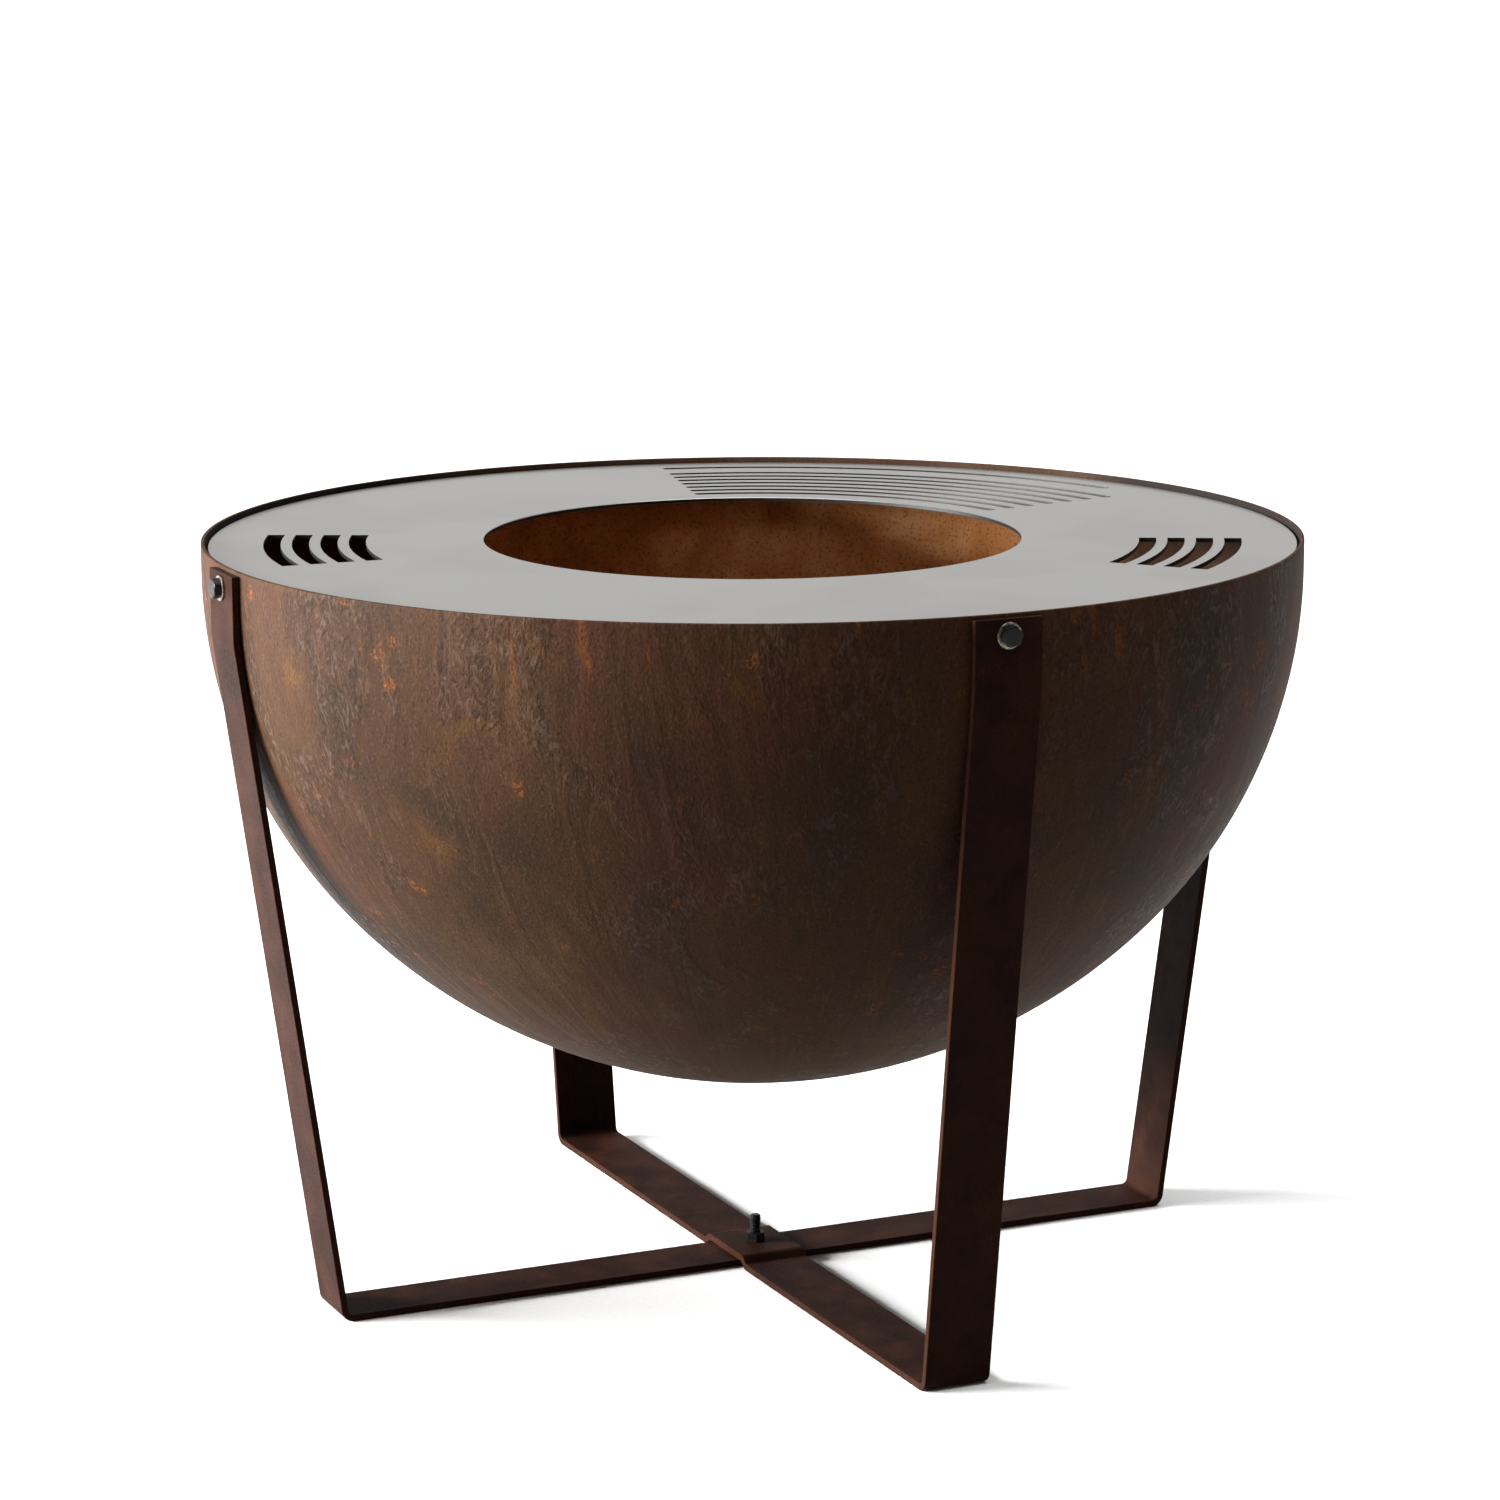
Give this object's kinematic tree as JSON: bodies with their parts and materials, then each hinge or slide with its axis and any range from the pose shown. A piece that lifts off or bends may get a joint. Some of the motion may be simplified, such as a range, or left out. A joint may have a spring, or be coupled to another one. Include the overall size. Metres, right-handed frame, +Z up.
{
  "type": "fire pit",
  "caption": "Deep round steel fire bowl on a crossed flat-bar stand, with a lift-off ring griddle plate that has a central fire opening, arc slots and a slotted grate.",
  "frame": {"origin": "on the floor under the crossing of the two stand straps, which is also under the bowl's centre", "axes": "+Z up; X along the lower strap, from the left leg (-X) to the right leg (+X); Y along the upper strap, from the front leg (-Y) to the back leg (+Y)"},
  "size_m": [0.8238, 0.8238, 0.55],
  "materials": {
    "bowl_steel": "rough weathered rust patina",
    "strap_steel": "dark brown rust patina, satin",
    "griddle_steel": "satin rolled steel",
    "black_fastener": "black oxide, oiled",
    "washer_steel": "zinc-plated, dull"
  },
  "bodies": {
    "bowl_and_stand": {"bowl": "bowl_steel", "lower_strap": "strap_steel", "upper_strap": "strap_steel", "centre_bolt": "black_fastener", "centre_nut": "black_fastener", "leg_bolt_right": "black_fastener", "outer_washer_right": "washer_steel", "inner_washer_right": "washer_steel", "leg_nut_right": "black_fastener", "leg_bolt_back": "black_fastener", "outer_washer_back": "washer_steel", "inner_washer_back": "washer_steel", "leg_nut_back": "black_fastener", "leg_bolt_left": "black_fastener", "outer_washer_left": "washer_steel", "inner_washer_left": "washer_steel", "leg_nut_left": "black_fastener", "leg_bolt_front": "black_fastener", "outer_washer_front": "washer_steel", "inner_washer_front": "washer_steel", "leg_nut_front": "black_fastener"},
    "griddle": {"griddle_plate": "griddle_steel"}
  },
  "joints": [
    {"name": "griddle_lift", "type": "slide", "parent": "bowl_and_stand", "child": "griddle", "axis": [0, 0, 1], "range_m": [0, 0.3]}
  ]
}
